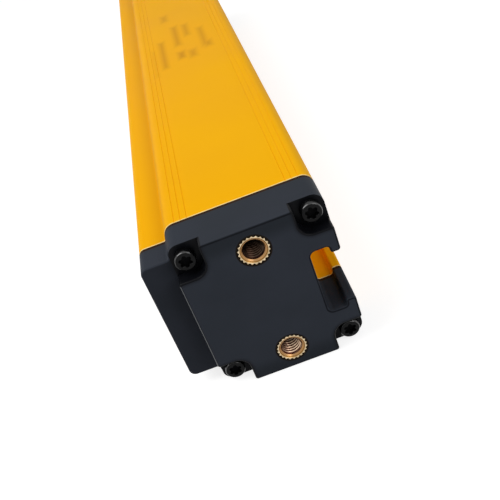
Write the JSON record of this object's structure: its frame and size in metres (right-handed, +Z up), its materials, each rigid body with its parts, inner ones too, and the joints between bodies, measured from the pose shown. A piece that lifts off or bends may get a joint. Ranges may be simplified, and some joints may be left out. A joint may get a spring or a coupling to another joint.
{
  "type": "safety light curtain",
  "caption": "Machine safety light curtain bar: yellow extruded housing with mounting slot and window, dark end caps with threaded inserts, and a round plug connector.",
  "frame": {"origin": "centre of the bottom of the bounding box, on the surface that the bar lies on", "axes": "+Y along the bar from the plain end to the connector end, +X from the window to the mounting slot, +Z up"},
  "size_m": [0.05, 0.3292, 0.0469],
  "materials": {
    "housing_paint": "satin powder coat",
    "cap_plastic": "fine moulded grain",
    "black_rubber": "matte",
    "black_steel": "black oxide",
    "insert_brass": "turned and knurled",
    "window_acrylic": "dark tinted and polished",
    "nickel_plate": "nickel plated",
    "gold_pins": "gold plated",
    "black_plastic": "matte",
    "clear_plastic": "clear and polished",
    "board_resin": "solder mask",
    "chip_resin": "moulded",
    "can_aluminium": "drawn can",
    "white_plastic": "moulded",
    "ribbon_film": "film",
    "diode_resin": "clear resin"
  },
  "bodies": {
    "root": {"beam_diode_1": "diode_resin", "beam_diode_10": "diode_resin", "beam_diode_11": "diode_resin", "beam_diode_12": "diode_resin", "beam_diode_2": "diode_resin", "beam_diode_3": "diode_resin", "beam_diode_4": "diode_resin", "beam_diode_5": "diode_resin", "beam_diode_6": "diode_resin", "beam_diode_7": "diode_resin", "beam_diode_8": "diode_resin", "beam_diode_9": "diode_resin", "board_header": "white_plastic", "cap_screw_far_1": "black_steel", "cap_screw_far_2": "black_steel", "cap_screw_far_3": "black_steel", "cap_screw_far_4": "black_steel", "cap_screw_near_1": "black_steel", "cap_screw_near_2": "black_steel", "cap_screw_near_3": "black_steel", "cap_screw_near_4": "black_steel", "capacitor_1": "can_aluminium", "capacitor_2": "can_aluminium", "connector_board": "board_resin", "connector_insulator": "black_plastic", "connector_nut": "nickel_plate", "connector_pin_1": "gold_pins", "connector_pin_2": "gold_pins", "connector_pin_3": "gold_pins", "connector_pin_4": "gold_pins", "connector_pin_5": "gold_pins", "connector_ring": "black_rubber", "connector_shell": "nickel_plate", "driver_chip_1": "chip_resin", "driver_chip_2": "chip_resin", "end_cap_far": "cap_plastic", "end_cap_near": "cap_plastic", "end_gasket_far": "black_rubber", "end_gasket_near": "black_rubber", "front_window": "window_acrylic", "housing_profile": "housing_paint", "lens_strip": "clear_plastic", "link_ribbon": "ribbon_film", "main_board": "board_resin", "optic_carrier": "black_plastic", "processor_chip": "chip_resin", "status_light_1": "diode_resin", "status_light_2": "diode_resin", "status_light_3": "diode_resin", "threaded_insert_far_1": "insert_brass", "threaded_insert_far_2": "insert_brass", "threaded_insert_near_1": "insert_brass", "threaded_insert_near_2": "insert_brass", "window_seal_lower": "black_rubber", "window_seal_upper": "black_rubber"}
  },
  "joints": []
}
